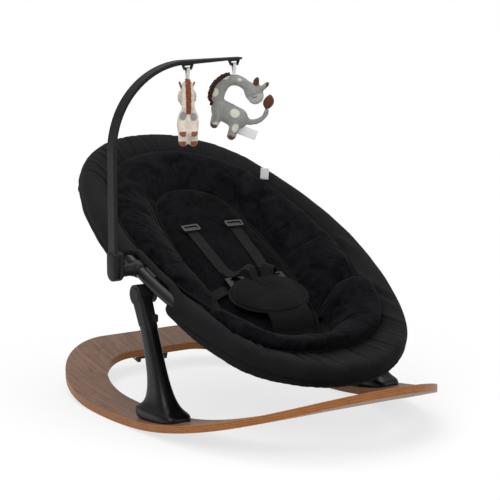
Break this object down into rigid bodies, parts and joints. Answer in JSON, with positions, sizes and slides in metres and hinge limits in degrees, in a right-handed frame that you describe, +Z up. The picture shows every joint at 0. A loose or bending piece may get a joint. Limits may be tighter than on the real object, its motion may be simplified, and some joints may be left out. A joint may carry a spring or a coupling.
{
  "type": "baby bouncer seat",
  "caption": "Reclining padded baby seat with a harness and a toy bar, held by two legs on a bent plywood rocker base.",
  "frame": {"origin": "on the floor, under the centre of the box around the whole object", "axes": "+X to the feet of the sitting child, +Y to its left, +Z up"},
  "size_m": [0.7518, 0.515, 0.5948],
  "materials": {
    "plywood": "satin",
    "black_plastic": "matte",
    "black_tube": "satin",
    "steel": "satin",
    "charcoal_cover": "matte",
    "velvet": "matte",
    "webbing": "matte",
    "grey_plush": "matte",
    "cream_plush": "matte",
    "brown_felt": "matte",
    "white_ribbon": "matte"
  },
  "bodies": {
    "rocker": {"rocker_base": "plywood", "leg_left": "black_plastic", "leg_right": "black_plastic", "leg_collar_left": "black_plastic", "leg_collar_right": "black_plastic", "pivot_cap_left": "black_plastic", "pivot_cap_right": "black_plastic", "leg_screws": "steel", "pivot_washers": "black_plastic", "stop_bracket": "black_plastic", "stop_pin": "steel"},
    "stop": {"rocker_stop": "black_plastic"},
    "button_left": {"release_button_left": "black_plastic"},
    "button_right": {"release_button_right": "black_plastic"},
    "seat": {"frame_tube_head": "black_tube", "frame_tube_foot": "black_tube", "rim_sleeve_head": "charcoal_cover", "rim_sleeve_foot": "charcoal_cover", "pivot_bracket_left": "black_plastic", "pivot_bracket_right": "black_plastic", "pivot_pin_left": "steel", "pivot_pin_right": "steel", "toybar_clamp": "black_plastic", "seat_cover": "charcoal_cover", "back_pad": "velvet", "upper_insert": "velvet", "lower_roll": "velvet", "crotch_pad": "velvet", "crotch_band": "velvet", "shoulder_strap_left": "webbing", "shoulder_strap_right": "webbing", "shoulder_adjuster_left": "black_plastic", "shoulder_adjuster_right": "black_plastic", "waist_strap_left": "webbing", "waist_strap_right": "webbing", "waist_buckle_left": "black_plastic", "waist_buckle_right": "black_plastic"},
    "toy_arch": {"toybar_holder": "black_plastic", "toy_bar": "black_plastic", "toy_hook_inner": "black_plastic", "toy_hook_outer": "black_plastic"},
    "grey_toy": {"toy_grey_body": "grey_plush", "toy_grey_neck": "grey_plush", "toy_grey_head": "grey_plush", "toy_grey_legs": "grey_plush", "toy_grey_tail": "grey_plush", "toy_grey_tuft": "brown_felt", "toy_grey_ears": "brown_felt", "toy_grey_mane": "brown_felt", "toy_grey_ribbon": "white_ribbon"},
    "cream_toy": {"toy_cream_body": "cream_plush", "toy_cream_neck": "cream_plush", "toy_cream_head": "cream_plush", "toy_cream_legs": "cream_plush", "toy_cream_tail": "cream_plush", "toy_cream_tuft": "brown_felt", "toy_cream_ears": "brown_felt", "toy_cream_mane": "brown_felt", "toy_cream_ribbon": "white_ribbon"}
  },
  "joints": [
    {"name": "seat_recline", "type": "hinge", "parent": "rocker", "child": "seat", "pos_m": [0.00231, 0.00751, 0.21712], "axis": [0, 1, 0], "range_deg": [-14, 8]},
    {"name": "toy_bar_swing", "type": "hinge", "parent": "seat", "child": "toy_arch", "pos_m": [-0.01025, -0.23851, 0.25774], "axis": [0, 1, 0], "range_deg": [-25, 60]},
    {"name": "grey_toy_swing", "type": "hinge", "parent": "toy_arch", "child": "grey_toy", "pos_m": [-0.01025, -0.01649, 0.58251], "axis": [0, 1, 0], "range_deg": [-50, 50]},
    {"name": "cream_toy_swing", "type": "hinge", "parent": "toy_arch", "child": "cream_toy", "pos_m": [-0.01025, -0.10749, 0.57958], "axis": [0, 1, 0], "range_deg": [-50, 50]},
    {"name": "rocker_stop_fold", "type": "hinge", "parent": "rocker", "child": "stop", "pos_m": [-0.3141, -0.00249, 0.0253], "axis": [0, -1, 0], "range_deg": [0, 104]},
    {"name": "release_button_left_press", "type": "slide", "parent": "rocker", "child": "button_left", "axis": [-1, 0, 0], "range_m": [0, 0.0035], "stiffness_N_per_m": 900, "springref_m": -0.003},
    {"name": "release_button_right_press", "type": "slide", "parent": "rocker", "child": "button_right", "axis": [-1, 0, 0], "range_m": [0, 0.0035], "stiffness_N_per_m": 900, "springref_m": -0.003}
  ]
}
